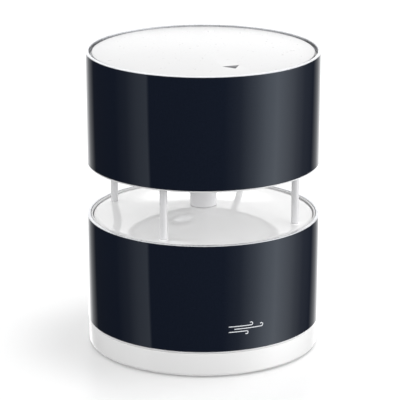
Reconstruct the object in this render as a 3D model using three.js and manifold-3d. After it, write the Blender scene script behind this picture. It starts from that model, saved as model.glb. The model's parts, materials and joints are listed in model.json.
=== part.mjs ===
// An ultrasonic wind gauge: two short drums on one axis, joined by four posts and a centre column,
// with an open air gap between them. Millimetres, +Z up, the origin under the middle of the base,
// the marked front towards -Y.
import * as THREE from "three";
import { mergeVertices } from "three/addons/utils/BufferGeometryUtils.js";
import Module from "manifold-3d";

const wasm = await Module();
wasm.setup();

// ---------------------------------------------------------------- driving dimensions
const BODY_R = 42.5; // outside of both metal sleeves
const SLEEVE_WALL = 1.2;
const TOTAL_H = 110;
const BASE_TOP = 9; // top edge of the twist-off base
const LOWER_BOTTOM = 9.7; // lower sleeve
const LOWER_TOP = 49.3;
const UPPER_BOTTOM = 69.1; // upper sleeve
const WHITE_R = 42.2; // white base and lips, just inside the sleeves
const FIT = 0.2; // radial gap between nested shells
const SHELL_WALL = 1.8;

const SHELL_R = BODY_R - SLEEVE_WALL - FIT; // outside of both inner shells
const BORE_R = SHELL_R - SHELL_WALL; // inside of both inner shells
const LIP = 0.5; // lip that each inner shell turns out under its sleeve

const POST_CIRCLE_R = 35.9;
const POST_ANGLES = [45, 135, 225, 315];
const POST_R = 1.35;
const POST_END_R = 1.0;
const COLUMN_R = 4.85;
const COLUMN_END_R = 3.6;
const COLUMN_BORE_R = 2.4;

const DECK_R = 40.1; // domed floor of the air gap
const DECK_EDGE_Z = 48.75;
const DOME_RISE = 3.1;
const DECK_WALL = 2;
const CEILING_Z = 69.5; // roof of the air gap
const CEILING_WALL = 2;

const TOP_PLATE_R = 40.15;
const TOP_PLATE_Z = 109.5;

const THREAD_STARTS = 3; // ridges of the base's quick thread
const THREAD_LEAD = 9; // rise for one whole turn
const RIDGE_ARC = 80; // degrees
const RIDGE_H = 1.3;
const SPIGOT_R = 37.9;
const SPIGOT_TOP = 17.8;
const CAP_RIDGE_Z = 14.3; // underside of a base ridge where it starts
const SHELL_RIDGE_Z = 12.8; // underside of a housing ridge where it starts

const CELL_R = 7;
const CELL_HALF = 24.8;
const CELL_PITCH = 14.3;
const CELL_Z = 25.3;
const CELL_COUNT = 4;

const TRAY_Z = 33.05;
const TRAY_WALL = 1.6;
const TRAY_R = 38.9;
const BOARD_WALL = 1.6;
const MAIN_BOARD_Z = 39;
const SENSOR_BOARD_Z = 82;
const CONTROL_Y = -33.4; // row of the pairing button and its light
const CONTROL_X = 5;

const TRANSDUCER_CIRCLE_R = 22;
const TRANSDUCER_R = 4.9;
const TRANSDUCER_ANGLES = [0, 90, 180, 270];

const TRIPOD_SCREW_R = 3.2; // clears a quarter-inch screw
const FINE = 36; // sides of the large rounds
const MEDIUM = 16;
const SMALL = 12;
const TINY = 8;

// ---------------------------------------------------------------- solids
const rad = THREE.MathUtils.degToRad;

// A closed three.js geometry as a solid, facing out.
function solid(geometry) {
  const bare = geometry.index ? geometry.clone() : geometry;
  bare.deleteAttribute("normal");
  bare.deleteAttribute("uv");
  const merged = mergeVertices(bare, 1e-4);
  const corners = Array.from(merged.index.array);
  const faces = [];
  for (let i = 0; i < corners.length; i += 3) {
    const [a, b, c] = corners.slice(i, i + 3);
    if (a !== b && b !== c && c !== a) {
      faces.push(a, b, c);
    }
  }
  const build = (triangles) =>
    new wasm.Manifold(
      new wasm.Mesh({
        numProp: 3,
        vertProperties: new Float32Array(merged.attributes.position.array),
        triVerts: new Uint32Array(triangles),
      }),
    );
  const made = build(faces);
  return made.volume() > 0 ? made : build(faces.reverse());
}

const join = (first, ...rest) => rest.reduce((sum, s) => sum.add(s), first);
const cut = (first, ...rest) => rest.reduce((left, s) => left.subtract(s), first);

// A profile of [radius, height] points turned about the vertical axis. It closes on itself or on the axis.
function turned(profile, sides = FINE) {
  const points = profile.map(([r, z]) => new THREE.Vector2(r, z));
  const onAxis = profile[0][0] === 0 && profile.at(-1)[0] === 0;
  if (!onAxis) {
    points.push(points[0].clone());
  }
  return solid(new THREE.LatheGeometry(points, sides).rotateX(Math.PI / 2));
}

function rod(radius, z0, z1, x = 0, y = 0, sides = SMALL) {
  const round = new THREE.CylinderGeometry(radius, radius, z1 - z0, sides).rotateX(Math.PI / 2);
  return solid(round.translate(x, y, (z0 + z1) / 2));
}

function ring(inner, outer, z0, z1, sides = FINE) {
  return turned([[inner, z0], [outer, z0], [outer, z1], [inner, z1]], sides);
}

function block(x0, x1, y0, y1, z0, z1) {
  const box = new THREE.BoxGeometry(x1 - x0, y1 - y0, z1 - z0);
  return solid(box.translate((x0 + x1) / 2, (y0 + y1) / 2, (z0 + z1) / 2));
}

// An outline of [x, y] points drawn up from z0 to z1.
function plate(outline, z0, z1) {
  const shape = new THREE.Shape(outline.map(([x, y]) => new THREE.Vector2(x, y)));
  return solid(new THREE.ExtrudeGeometry(shape, { depth: z1 - z0, bevelEnabled: false }).translate(0, 0, z0));
}

// A bar bent round the vertical axis from angle a0 to a1, in degrees, that climbs by rise on the way.
function arcBar(inner, outer, a0, a1, z0, height, rise = 0, steps = 8) {
  const bar = new THREE.BoxGeometry(1, 1, 1, steps, 1, 1);
  const at = bar.attributes.position;
  for (let i = 0; i < at.count; i++) {
    const along = at.getX(i) + 0.5;
    const angle = rad(a0 + (a1 - a0) * along);
    const r = inner + (outer - inner) * (at.getY(i) + 0.5);
    const z = z0 + height * (at.getZ(i) + 0.5) + rise * along;
    at.setXYZ(i, r * Math.cos(angle), r * Math.sin(angle), z);
  }
  return solid(bar);
}

// A round wire of the given radius along a curve.
function wire(curve, radius, steps, sides) {
  const angles = Array.from({ length: sides }, (_, i) => (2 * Math.PI * i) / sides);
  const corners = angles.map((a) => new THREE.Vector2(radius * Math.cos(a), radius * Math.sin(a)));
  const section = new THREE.Shape(corners);
  return solid(new THREE.ExtrudeGeometry(section, { steps, extrudePath: curve, bevelEnabled: false }));
}

const around = (radius, angles) => angles.map((a) => [radius * Math.cos(rad(a)), radius * Math.sin(rad(a))]);

// ---------------------------------------------------------------- finishes and nodes
function finish(color, roughness, metalness = 0) {
  return new THREE.MeshStandardMaterial({ color, roughness, metalness });
}

const navySleeve = finish(0x10151f, 0.22, 0.75);
const whitePlastic = finish(0xf1f1f2, 0.35);
const greyPlastic = finish(0x5a5d62, 0.5);
const blackRubber = finish(0x1b1c1e, 0.8);
const greyFoam = finish(0x3c3e42, 0.95);
const brass = finish(0xb99a52, 0.3, 1);
const steel = finish(0xb9bcc0, 0.3, 1);
const canMetal = finish(0xc9ccd0, 0.35, 1);
const boardGreen = finish(0x1f5a3c, 0.45);
const chipBlack = finish(0x17181a, 0.5);
const cellWrap = finish(0x2f4b63, 0.4, 0.2);
const markGrey = finish(0x35383d, 0.5);
const clearPipe = finish(0xdfe8ee, 0.1);

const gauge = new THREE.Group();

// Adds a solid to the gauge, or to a group inside it, as a named mesh.
function node(name, shape, material, parent = gauge) {
  const { vertProperties, triVerts } = shape.getMesh();
  const geometry = new THREE.BufferGeometry();
  geometry.setAttribute("position", new THREE.BufferAttribute(new Float32Array(vertProperties), 3));
  geometry.setIndex(new THREE.BufferAttribute(new Uint32Array(triVerts), 1));
  geometry.computeVertexNormals();
  const mesh = new THREE.Mesh(geometry, material);
  mesh.name = name;
  parent.add(mesh);
  return mesh;
}

// The same solid at several places, each its own numbered node.
function copies(name, shape, material, places) {
  places.forEach(([x, y], i) => node(`${name}_${i + 1}`, shape, material).position.set(x, y, 0));
}

// Height of the domed deck at a radius: a bell that is level at the middle and at the edge, so rain runs off.
const domeZ = (r) => DECK_EDGE_Z + (DOME_RISE * (1 + Math.cos((Math.PI * r) / DECK_R))) / 2;

// ---------------------------------------------------------------- twist-off base
const FOOT_Z = 0.5; // how far the rubber foot stands proud of the base
const FLOOR_TOP = 2.9;
const BOSS_R = 8.5;
const BOSS_TOP = 13;
const INSERT_R = 4.7;
const INSERT_FLANGE_R = 6;
const INSERT_TOP = 11.5;
const SEAL_GROOVE = [10.2, 12.4];

function baseCap() {
  const body = turned([
    [0, 11.8], [5, 11.8], [5, 1.6], [6.3, 1.6], [6.3, FOOT_Z],
    [33.4, FOOT_Z], [33.4, 1.4], [38.6, 1.4], [38.6, FOOT_Z],
    [41.6, FOOT_Z], [WHITE_R, 1.1], [WHITE_R, BASE_TOP - 0.2], [WHITE_R - 0.2, BASE_TOP],
    [39.9, BASE_TOP], [39.9, 3], [SPIGOT_R, 3],
    [SPIGOT_R, SEAL_GROOVE[0]], [36.95, SEAL_GROOVE[0]], [36.95, SEAL_GROOVE[1]], [SPIGOT_R, SEAL_GROOVE[1]],
    [SPIGOT_R, SPIGOT_TOP], [35.9, SPIGOT_TOP], [35.9, FLOOR_TOP], [BOSS_R, FLOOR_TOP],
    [BOSS_R, BOSS_TOP], [0, BOSS_TOP],
  ]);
  const spoke = block(BOSS_R - 1, 36.2, -0.7, 0.7, FLOOR_TOP - 0.5, BOSS_TOP);
  const spokes = [0, 60, 120, 180, 240, 300].map((a) => spoke.rotate([0, 0, a]));
  return join(body, ...spokes, ...ridges(SPIGOT_R - 0.5, 39, CAP_RIDGE_Z));
}

// The ridges of the quick thread, on the base's spigot or in the housing's bore.
function ridges(inner, outer, z) {
  const rise = (THREAD_LEAD * RIDGE_ARC) / 360;
  const sector = 360 / THREAD_STARTS;
  const starts = Array.from({ length: THREAD_STARTS }, (_, i) => i * sector);
  return starts.map((a) => arcBar(inner, outer, a, a + RIDGE_ARC, z, RIDGE_H, rise));
}

node("base_cap", baseCap(), whitePlastic);
node(
  "tripod_insert",
  turned(
    [
      [TRIPOD_SCREW_R, 0.6], [INSERT_FLANGE_R, 0.6], [INSERT_FLANGE_R, 1.3], [INSERT_R, 1.3],
      [INSERT_R, INSERT_TOP], [TRIPOD_SCREW_R, INSERT_TOP],
    ],
    MEDIUM,
  ),
  brass,
);
node("foot_ring", ring(33.7, 38.3, 0, 1.3), blackRubber);
node("cell_retainer_pad", rod(24, BOSS_TOP + 0.05, 18.1, 0, 0, MEDIUM), greyFoam);
const sealHeight = (SEAL_GROOVE[0] + SEAL_GROOVE[1]) / 2;
const sealRing = new THREE.TorusGeometry(38.2, 0.85, 6, FINE).translate(0, 0, sealHeight);
node("base_seal", solid(sealRing), blackRubber);

// ---------------------------------------------------------------- sleeves and inner shells
function sleeve(z0, z1) {
  const inner = BODY_R - SLEEVE_WALL;
  const bevel = 0.35;
  return turned([
    [inner, z0], [BODY_R - bevel, z0], [BODY_R, z0 + bevel],
    [BODY_R, z1 - bevel], [BODY_R - bevel, z1], [inner + bevel, z1], [inner, z1 - bevel],
  ]);
}

const RIM_R = 40.4; // inside of the white rim round the deck
const RIM_Z = 49.15;
const LEDGE_Z = 46.4;
const SCREW_CIRCLE_R = 36.9;
const TRAY_SCREWS = around(SCREW_CIRCLE_R, [0, 90, 180]);

function lowerShell() {
  const lipTop = LOWER_BOTTOM - 0.1;
  const wall = turned([
    [BORE_R, lipTop - LIP], [WHITE_R, lipTop - LIP], [WHITE_R, lipTop],
    [SHELL_R, lipTop], [SHELL_R, RIM_Z], [RIM_R, RIM_Z], [RIM_R, LEDGE_Z],
    [BORE_R - 0.5, LEDGE_Z], [BORE_R - 0.5, LEDGE_Z - 1], [BORE_R, LEDGE_Z - 1.8],
  ]);
  const bosses = TRAY_SCREWS.map(([x, y]) => rod(2.8, 27, TRAY_Z - 0.05, x, y));
  const holes = TRAY_SCREWS.map(([x, y]) => rod(1, 28, TRAY_Z + 1, x, y, TINY));
  return cut(join(wall, ...bosses, ...ridges(38.2, BORE_R + 0.5, SHELL_RIDGE_Z)), ...holes);
}

node("lower_shell", lowerShell(), whitePlastic);
node("lower_sleeve", sleeve(LOWER_BOTTOM, LOWER_TOP), navySleeve);
node("deck_seal", ring(38.95, 39.95, LEDGE_Z + 0.05, LEDGE_Z + 0.65), blackRubber);

// ---------------------------------------------------------------- domed deck
const POSTS = around(POST_CIRCLE_R, POST_ANGLES);
const PAD_Z = 49; // flat pads that the posts stand on

function lowerDeck() {
  const topRadii = [10, 18, 26, 34];
  const underRadii = [34, 18];
  const dome = turned(
    [
      [3.9, domeZ(3.9)],
      ...topRadii.map((r) => [r, domeZ(r)]),
      [DECK_R, DECK_EDGE_Z], [DECK_R, LEDGE_Z + 0.7], [37.5, LEDGE_Z + 0.7],
      ...underRadii.map((r) => [r, domeZ(r) - DECK_WALL]),
      [3.9, domeZ(3.9) - DECK_WALL],
    ],
  );
  const pads = POSTS.map(([x, y]) => rod(1.8, 47.5, PAD_Z, x, y));
  const sockets = POSTS.map(([x, y]) => rod(2.5, 44.6, 47.6, x, y));
  const holes = POSTS.map(([x, y]) => rod(POST_END_R + 0.2, 44, 50, x, y, TINY));
  return cut(join(dome, ...pads, ...sockets), ...holes);
}

node("lower_deck", lowerDeck(), whitePlastic);

// ---------------------------------------------------------------- posts, column and cable
const postProfile = [
  [0, 44.8], [POST_END_R, 44.8], [POST_END_R, PAD_Z + 0.05], [POST_R, PAD_Z + 0.05],
  [POST_R, CEILING_Z - 0.05], [POST_END_R, CEILING_Z - 0.05], [POST_END_R, 76], [0, 76],
];
copies("post", turned(postProfile, SMALL), whitePlastic, POSTS);

const NUT_Z = 73.1;
const hexagon = around(2.3, [0, 60, 120, 180, 240, 300]);
const nut = cut(plate(hexagon, NUT_Z, NUT_Z + 1.6), rod(POST_END_R + 0.15, NUT_Z - 1, NUT_Z + 3, 0, 0, TINY));
copies("post_nut", nut, steel, POSTS);

const columnSeatZ = domeZ(COLUMN_END_R) + 0.1;
const columnProfile = [
  [COLUMN_BORE_R, 48.9], [COLUMN_END_R, 48.9], [COLUMN_END_R, columnSeatZ], [COLUMN_R, columnSeatZ],
  [COLUMN_R, CEILING_Z - 0.1], [COLUMN_END_R, CEILING_Z - 0.1], [COLUMN_END_R, 73], [COLUMN_BORE_R, 73],
];
node("centre_column", turned(columnProfile, MEDIUM), whitePlastic);

// The cable climbs from the main board through the column and turns over into its socket on the sensor board.
const CABLE_R = 1.5;
const CABLE_LOOP_R = 6;
const CABLE_TURN_Z = 89.5;

class CableLine extends THREE.Curve {
  constructor(z0, z1) {
    super();
    this.z0 = z0;
    this.climb = CABLE_TURN_Z - z0;
    this.turn = Math.PI * CABLE_LOOP_R;
    this.drop = CABLE_TURN_Z - z1;
  }
  getPoint(t) {
    const s = t * (this.climb + this.turn + this.drop);
    if (s < this.climb) {
      return new THREE.Vector3(0, 0, this.z0 + s);
    }
    const a = Math.min((s - this.climb) / CABLE_LOOP_R, Math.PI);
    const past = Math.max(0, s - this.climb - this.turn);
    const x = CABLE_LOOP_R * (1 - Math.cos(a));
    return new THREE.Vector3(x, 0, CABLE_TURN_Z + CABLE_LOOP_R * Math.sin(a) - past);
  }
}
node("signal_cable", wire(new CableLine(45, 88.6), CABLE_R, 24, 8), greyPlastic);

// ---------------------------------------------------------------- cell tray, cells and contacts
const TRAY_TOP = TRAY_Z + TRAY_WALL;
const cellX = (i) => (i - (CELL_COUNT - 1) / 2) * CELL_PITCH;
const TAB_HALF = 1.5;
const STANDOFFS = around(30, [30, 150, 270]);

function batteryTray() {
  const roof = rod(TRAY_R, TRAY_Z, TRAY_TOP, 0, 0, FINE);
  const endWalls = [[27.4, 28.8], [-28.8, -27.4]].map((ys) => block(-24.8, 24.8, ...ys, 22, TRAY_Z + 0.5));
  const ridge = [[-4.3, 0.1], [-0.3, -4.6], [0.3, -4.6], [4.3, 0.1]];
  const keel = (x) => plate(ridge.map(([dx, dz]) => [x + dx, TRAY_Z + dz]), -20, 20).rotate([90, 0, 0]);
  const keels = [-1, 0, 1].map((i) => keel(i * CELL_PITCH));
  const sideWalls = [[28.9, 30.2], [-30.2, -28.9]].map((xs) => block(...xs, -20, 20, 22, TRAY_Z + 0.5));
  const wells = [
    rod(4.3, 24.5, TRAY_Z + 0.5, -CONTROL_X, CONTROL_Y),
    rod(2.9, 24.5, TRAY_Z + 0.5, CONTROL_X, CONTROL_Y),
  ];
  const pegs = STANDOFFS.flatMap(([x, y]) => [
    rod(2.2, TRAY_TOP - 0.5, MAIN_BOARD_Z - 0.05, x, y, TINY),
    rod(0.9, TRAY_TOP, MAIN_BOARD_Z + BOARD_WALL + 0.6, x, y, TINY),
  ]);
  const terminalX = [cellX(0), cellX(CELL_COUNT - 1)];
  const openings = [
    rod(3.3, 20, TRAY_Z, -CONTROL_X, CONTROL_Y),
    rod(2.4, 20, 40, -CONTROL_X, CONTROL_Y),
    rod(1.9, 20, 40, CONTROL_X, CONTROL_Y),
    ...TRAY_SCREWS.map(([x, y]) => rod(1, TRAY_Z - 1, TRAY_TOP + 1, x, y, TINY)),
    ...terminalX.map((x) => block(x - 2, x + 2, -27.6, -26.6, TRAY_Z - 1, TRAY_TOP + 1)),
  ];
  return cut(join(roof, ...endWalls, ...keels, ...sideWalls, ...wells, ...pegs), ...openings);
}
node("battery_tray", batteryTray(), greyPlastic);

// A cell lies along Y with its button towards +Y.
const cellProfile = [
  [0, -CELL_HALF], [5.8, -CELL_HALF], [CELL_R, -CELL_HALF + 0.8], [CELL_R, CELL_HALF - 2],
  [6.2, CELL_HALF - 1.3], [2.75, CELL_HALF - 1.3], [2.75, CELL_HALF], [0, CELL_HALF],
];
const cell = turned(cellProfile, SMALL).rotate([-90, 0, 0]);
for (let i = 0; i < CELL_COUNT; i++) {
  const mesh = node(`cell_${i + 1}`, cell, cellWrap);
  mesh.position.set(cellX(i), 0, CELL_Z);
  mesh.rotation.z = i % 2 ? Math.PI : 0;
}

// Contacts stand at the ends of the cells: a coil spring for each flat end, a stud for each button.
const CONTACT_Y = [26.9, 27.3];
const SPRING_TURNS = 2;

class SpringLine extends THREE.Curve {
  getPoint(t) {
    const a = 2 * Math.PI * SPRING_TURNS * t;
    const r = 3 - 1.2 * t;
    return new THREE.Vector3(r * Math.cos(a), CONTACT_Y[0] - 0.05 - 1.6 * t, r * Math.sin(a));
  }
}
const spring = wire(new SpringLine(), 0.35, 16, 5);
const stud = rod(2.2, -CONTACT_Y[0] - 0.1, -CELL_HALF - 0.15, 0, 0, TINY).rotate([90, 0, 0]);

// A strip over the cells from first to last at the +Y end, with the fitting that each cell needs there.
function contact(first, last, fittings) {
  const half = 3.3;
  const strip = block(cellX(first) - half, cellX(last) + half, ...CONTACT_Y, CELL_Z - half, CELL_Z + half);
  return join(strip, ...fittings.map(([shape, i]) => shape.translate([cellX(i), 0, CELL_Z])));
}
const tab = (i) => block(cellX(i) - TAB_HALF, cellX(i) + TAB_HALF, ...CONTACT_Y, CELL_Z, MAIN_BOARD_Z - 0.1);

node("cell_bridge_1", contact(0, 1, [[stud, 0], [spring, 1]]), steel);
node("cell_bridge_2", contact(1, 2, [[spring, 1], [stud, 2]]), steel).rotation.z = Math.PI;
node("cell_bridge_3", contact(2, 3, [[stud, 2], [spring, 3]]), steel);
node("terminal_positive", join(contact(0, 0, [[stud, 0]]), tab(0)), steel).rotation.z = Math.PI;
node("terminal_negative", join(contact(3, 3, [[spring, 3]]), tab(3)), steel).rotation.z = Math.PI;

// A pan-head screw standing on a seat, with a cross in its head.
function screw(seat, length) {
  const head = turned(
    [
      [0, seat - length], [0.75, seat - length], [0.75, seat], [2, seat],
      [2, seat + 0.8], [1.2, seat + 1.4], [0, seat + 1.4],
    ],
    TINY,
  );
  const slot = block(-1.2, 1.2, -0.25, 0.25, seat + 0.6, seat + 2);
  return cut(head, slot, slot.rotate([0, 0, 90]));
}
copies("tray_screw", screw(TRAY_TOP + 0.05, 6), steel, TRAY_SCREWS);

// ---------------------------------------------------------------- main board and controls
const BOARD_R = 37.2;
const pegHoles = STANDOFFS.map(([x, y]) => rod(1.1, 38, 42, x, y, TINY));
const mainBoard = cut(rod(BOARD_R, MAIN_BOARD_Z, MAIN_BOARD_Z + BOARD_WALL, 0, 0, FINE), ...pegHoles);
node("main_board", mainBoard, boardGreen);

// Parts on the board: a box centred at x, y, standing on the surface z.
const part = (x, y, w, d, z, h) => block(x - w / 2, x + w / 2, y - d / 2, y + d / 2, z + 0.05, z + h);
const MAIN_TOP = MAIN_BOARD_Z + BOARD_WALL;
node("radio_can", part(-18, 6, 15, 12, MAIN_TOP, 2.4), canMetal);
node("microcontroller", part(16, 8, 9, 9, MAIN_TOP, 1.2), chipBlack);
node("reservoir_capacitor", rod(4, MAIN_TOP + 0.05, MAIN_TOP + 5, 13, -15, SMALL), chipBlack);
node("cable_socket_lower", part(0, 0, 8, 5, MAIN_TOP, 4.3), whitePlastic);
node("tact_switch", part(-CONTROL_X, CONTROL_Y, 5, 5, MAIN_BOARD_Z - 2.55, 2.5), chipBlack);
node("status_led", part(CONTROL_X, CONTROL_Y, 3, 2, MAIN_BOARD_Z - 1.25, 1.2), clearPipe);

const BUTTON_TRAVEL = 0.6;
const switchFace = MAIN_BOARD_Z - 2.5;
const buttonTop = switchFace - BUTTON_TRAVEL - 0.1;
const buttonProfile = [
  [0, 24], [2.5, 24], [2.9, 24.4], [2.9, 31.8], [2, 31.8], [2, TRAY_TOP + 0.1], [2.9, TRAY_TOP + 0.1],
  [2.9, buttonTop], [0, buttonTop],
];
node("pairing_button", turned(buttonProfile, SMALL), greyPlastic).position.set(-CONTROL_X, CONTROL_Y, 0);
const pipeProfile = [
  [0, 24.2], [1.5, 24.2], [1.5, TRAY_TOP + 0.1], [2.4, TRAY_TOP + 0.1],
  [2.4, TRAY_TOP + 0.8], [1.5, TRAY_TOP + 1.2], [0, TRAY_TOP + 2.4],
];
node("light_pipe", turned(pipeProfile, 12), clearPipe).position.set(CONTROL_X, CONTROL_Y, 0);

// ---------------------------------------------------------------- upper drum
const SHELL_TOP = 108;
const HOOK_GROOVE = [102.3, 104.3];
const PORTS = around(TRANSDUCER_CIRCLE_R, TRANSDUCER_ANGLES);
const BOARD_POSTS = around(33, [0, 90, 180, 270]);

function upperShell() {
  const cup = turned([
    [3.9, CEILING_Z], [39.6, CEILING_Z], [40.2, UPPER_BOTTOM - LIP], [WHITE_R, UPPER_BOTTOM - LIP],
    [WHITE_R, UPPER_BOTTOM - 0.05], [SHELL_R, UPPER_BOTTOM - 0.05],
    [SHELL_R, SHELL_TOP], [BORE_R, SHELL_TOP],
    [BORE_R, HOOK_GROOVE[1]], [BORE_R + 0.7, HOOK_GROOVE[1]],
    [BORE_R + 0.7, HOOK_GROOVE[0]], [BORE_R, HOOK_GROOVE[0]],
    [BORE_R, CEILING_Z + CEILING_WALL], [3.9, CEILING_Z + CEILING_WALL],
  ]);
  const roofIn = CEILING_Z + CEILING_WALL - 0.5;
  const collars = PORTS.map(([x, y]) => rod(7.6, roofIn, 76, x, y, SMALL));
  const seats = POSTS.map(([x, y]) => rod(2.9, roofIn, NUT_Z - 0.05, x, y, TINY));
  const bosses = BOARD_POSTS.map(([x, y]) => rod(2.6, roofIn, SENSOR_BOARD_Z - 0.05, x, y, TINY));
  const holes = [
    ...PORTS.map(([x, y]) => rod(6.1, 60, 80, x, y, SMALL)),
    ...POSTS.map(([x, y]) => rod(POST_END_R + 0.2, 60, 80, x, y, TINY)),
    ...BOARD_POSTS.map(([x, y]) => rod(1, 75, 90, x, y, TINY)),
  ];
  return cut(join(cup, ...collars, ...seats, ...bosses), ...holes);
}
node("upper_shell", upperShell(), whitePlastic);
node("upper_sleeve", sleeve(UPPER_BOTTOM, TOTAL_H), navySleeve);

const bootProfile = [[5.1, 69.05], [6.8, 69.05], [6.8, 69.4], [5.9, 69.4], [5.9, 76.8], [5.1, 76.8]];
copies("transducer_boot", turned(bootProfile, SMALL), blackRubber, PORTS);

const transducerCan = turned(
  [[0, 69.9], [3.8, 69.9], [4.1, 69.2], [TRANSDUCER_R, 69.2], [TRANSDUCER_R, 76.3], [0, 76.3]],
  SMALL,
);
const pins = [-2.5, 2.5].map((x) => rod(0.4, 76, SENSOR_BOARD_Z - 0.1, x, 0, 6));
copies("transducer", join(transducerCan, ...pins), canMetal, PORTS);

// ---------------------------------------------------------------- sensor board
const SENSOR_TOP = SENSOR_BOARD_Z + BOARD_WALL;
const sensorHoles = [rod(2.6, 80, 86, 0, 0, 12), ...BOARD_POSTS.map(([x, y]) => rod(1, 80, 86, x, y, TINY))];
node("sensor_board", cut(rod(BOARD_R, SENSOR_BOARD_Z, SENSOR_TOP, 0, 0, FINE), ...sensorHoles), boardGreen);
node("amplifier_chip", part(-14, -12, 8, 8, SENSOR_TOP, 1.2), chipBlack);
node("cable_socket_upper", part(12, 0, 5, 8, SENSOR_TOP, 4.9), whitePlastic);
copies("board_screw", screw(SENSOR_TOP + 0.05, 6), steel, [BOARD_POSTS[0], BOARD_POSTS[2]]);

const antennaStrip = block(-16, 16, 22, 26, 92, 92.4);
const antennaLegs = [-16, -6].map((x) => block(x, x + 3, 25.6, 26, SENSOR_TOP + 0.05, 92.2));
node("antenna", join(antennaStrip, ...antennaLegs), steel);

// ---------------------------------------------------------------- top plate and its mark
const MARK_Y = -27.7;
// A small arrow that points to the front; grow widens its outline all round.
const arrow = (grow) => [
  [-3 - 2 * grow, MARK_Y + 2.1 + grow], [0, MARK_Y - 2.1 - 1.6 * grow], [3 + 2 * grow, MARK_Y + 2.1 + grow],
];

function topPlate() {
  const disc = turned([
    [0, TOP_PLATE_Z], [TOP_PLATE_R - 0.25, TOP_PLATE_Z], [TOP_PLATE_R, TOP_PLATE_Z - 0.25],
    [TOP_PLATE_R, SHELL_TOP + 0.7], [BORE_R - 0.4, SHELL_TOP + 0.7], [BORE_R - 0.4, 106.4], [37.4, 106.4],
    [37.4, 107.7], [0, 107.7],
  ]);
  const tongues = [0, 90, 180, 270].flatMap((a) => [
    arcBar(37.5, BORE_R - 0.4, a - 6, a + 6, 101, 5.6, 0, 2),
    arcBar(BORE_R - 1, BORE_R + 0.4, a - 6, a + 6, HOOK_GROOVE[0] + 0.3, 1.3, 0, 2),
  ]);
  return cut(join(disc, ...tongues), plate(arrow(0.15), TOP_PLATE_Z - 0.5, TOP_PLATE_Z + 1));
}
node("top_plate", topPlate(), whitePlastic);
node("north_mark", plate(arrow(0), TOP_PLATE_Z - 0.4, TOP_PLATE_Z + 0.02), markGrey);
node("top_seal", ring(39.35, 40.05, SHELL_TOP + 0.05, SHELL_TOP + 0.65), blackRubber);

export default gauge;
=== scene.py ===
import json
import math

import bmesh
import bpy
from mathutils import Matrix, Vector


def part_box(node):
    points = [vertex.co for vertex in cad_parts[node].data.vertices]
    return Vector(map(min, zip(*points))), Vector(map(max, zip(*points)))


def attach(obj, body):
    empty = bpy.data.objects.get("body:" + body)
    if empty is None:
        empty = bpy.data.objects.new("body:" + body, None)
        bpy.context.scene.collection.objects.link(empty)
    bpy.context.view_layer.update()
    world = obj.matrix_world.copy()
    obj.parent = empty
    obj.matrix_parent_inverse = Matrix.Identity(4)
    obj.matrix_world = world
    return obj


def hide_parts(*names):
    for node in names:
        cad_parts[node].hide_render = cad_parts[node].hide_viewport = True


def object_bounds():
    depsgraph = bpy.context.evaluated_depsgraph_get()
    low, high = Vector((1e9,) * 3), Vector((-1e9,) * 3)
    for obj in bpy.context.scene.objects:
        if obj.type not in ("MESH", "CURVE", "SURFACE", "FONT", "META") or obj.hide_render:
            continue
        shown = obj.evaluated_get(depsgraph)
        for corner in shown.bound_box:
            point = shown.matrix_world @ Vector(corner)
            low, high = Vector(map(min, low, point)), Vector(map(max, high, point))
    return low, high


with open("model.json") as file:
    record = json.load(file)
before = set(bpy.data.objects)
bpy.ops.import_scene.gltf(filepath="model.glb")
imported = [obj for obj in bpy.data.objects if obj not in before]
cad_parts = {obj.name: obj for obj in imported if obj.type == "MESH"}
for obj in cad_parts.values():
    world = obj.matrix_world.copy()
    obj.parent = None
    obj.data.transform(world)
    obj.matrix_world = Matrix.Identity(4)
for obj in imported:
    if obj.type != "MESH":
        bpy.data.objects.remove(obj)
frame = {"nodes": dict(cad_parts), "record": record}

# An ultrasonic wind gauge: two short drums joined by four posts and a column round an open air gap.
# Every length is in metres, in the frame of the CAD model.
CAD_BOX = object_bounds()
MM = 0.001
SIDES = 144  # of the large rounds
FILLET_STEPS = 4
SMOOTH_ANGLE = math.radians(32)

# The view: the camera stands to the left of the marked front and looks down on the gauge.
VIEW_AZIMUTH = -22.0
VIEW_DISTANCE = 818 * MM
VIEW_HEIGHT = 298.2 * MM
VIEW_PITCH = math.radians(16.66)
LENS = 209.8
SENSOR = 36.0
SHIFT_X = -0.0082


# ---------------------------------------------------------------- the frame's own measures
def low(node):
    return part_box(node)[0]


def high(node):
    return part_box(node)[1]


def radius(node):
    """Outer radius of a node that is round about the gauge's axis."""
    return high(node).x


def middle(node):
    a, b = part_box(node)
    return (a + b) / 2


POSTS = [f"post_{i}" for i in range(1, 5)]
TRANSDUCERS = [f"transducer_{i}" for i in range(1, 5)]
CELLS = [f"cell_{i}" for i in range(1, 5)]
POST_SPOTS = [middle(node).to_2d() for node in POSTS]
INK = 0.04 * MM  # the painted skin lies this far inside the CAD radius: room for the printed mark


# ---------------------------------------------------------------- meshes
def finish_mesh(name, bm, materials):
    """A smooth-shaded object from a bmesh, with sharp edges where the surface turns."""
    bmesh.ops.remove_doubles(bm, verts=bm.verts, dist=1e-7)
    bmesh.ops.recalc_face_normals(bm, faces=bm.faces)
    mesh = bpy.data.meshes.new(name)
    bm.to_mesh(mesh)
    bm.free()
    for material in materials:
        mesh.materials.append(material)
    mesh.shade_smooth()
    mesh.set_sharp_from_angle(angle=SMOOTH_ANGLE)
    obj = bpy.data.objects.new(name, mesh)
    bpy.context.scene.collection.objects.link(obj)
    return obj


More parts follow.
